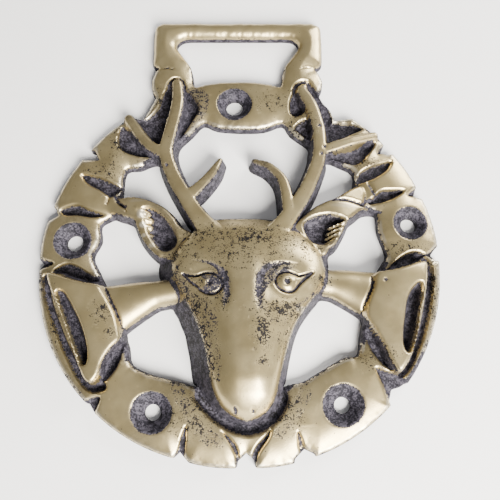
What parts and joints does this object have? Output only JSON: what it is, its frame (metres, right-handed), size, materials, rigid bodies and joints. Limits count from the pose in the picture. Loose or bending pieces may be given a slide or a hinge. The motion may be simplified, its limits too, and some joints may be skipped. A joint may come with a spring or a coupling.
{
  "type": "horse brass",
  "caption": "Cast horse brass: a stag's head with antlers between two hunting horns in a pierced ring of notched leaves, with countersunk screw holes and a strap loop above.",
  "frame": {"origin": "middle of the whole brass, on the flat back that it lies on", "axes": "+Z out of the face, +Y up the brass towards the strap loop, +X to the right of someone who looks at its face"},
  "size_m": [0.0788, 0.0926, 0.0108],
  "materials": {
    "aged_brass": "cast brass, handled smooth and olive-tan on the raised faces, with dark grainy tarnish in the recesses, on the walls and in scattered pits"
  },
  "bodies": {
    "root": {"horse_brass": "aged_brass"}
  },
  "joints": []
}
